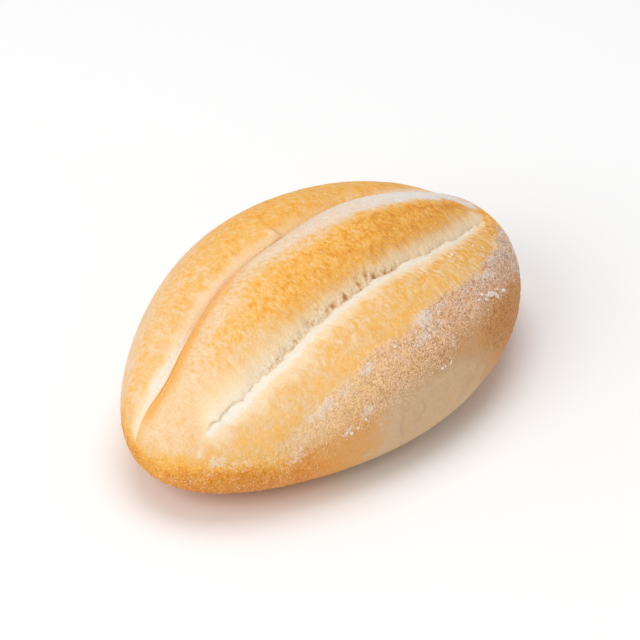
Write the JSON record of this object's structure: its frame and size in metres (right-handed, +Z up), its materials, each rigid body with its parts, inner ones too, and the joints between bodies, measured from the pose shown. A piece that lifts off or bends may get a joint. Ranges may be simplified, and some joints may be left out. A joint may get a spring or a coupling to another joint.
{
  "type": "telera bread roll",
  "caption": "Oval crusty bread roll with a pressed crease on each side of its middle, a three-lobed top, a floury flank and a flat base, for filling as a sandwich.",
  "frame": {"origin": "centre of the roll's box on the surface that it rests on", "axes": "+X along the roll towards its wider end, +Y across it away from the floury flank, +Z up"},
  "size_m": [0.15, 0.0954, 0.0522],
  "materials": {
    "crust": "matte golden crust, pale at the creases, dusted with flour on one flank"
  },
  "bodies": {
    "root": {"telera_roll": "crust"}
  },
  "joints": []
}
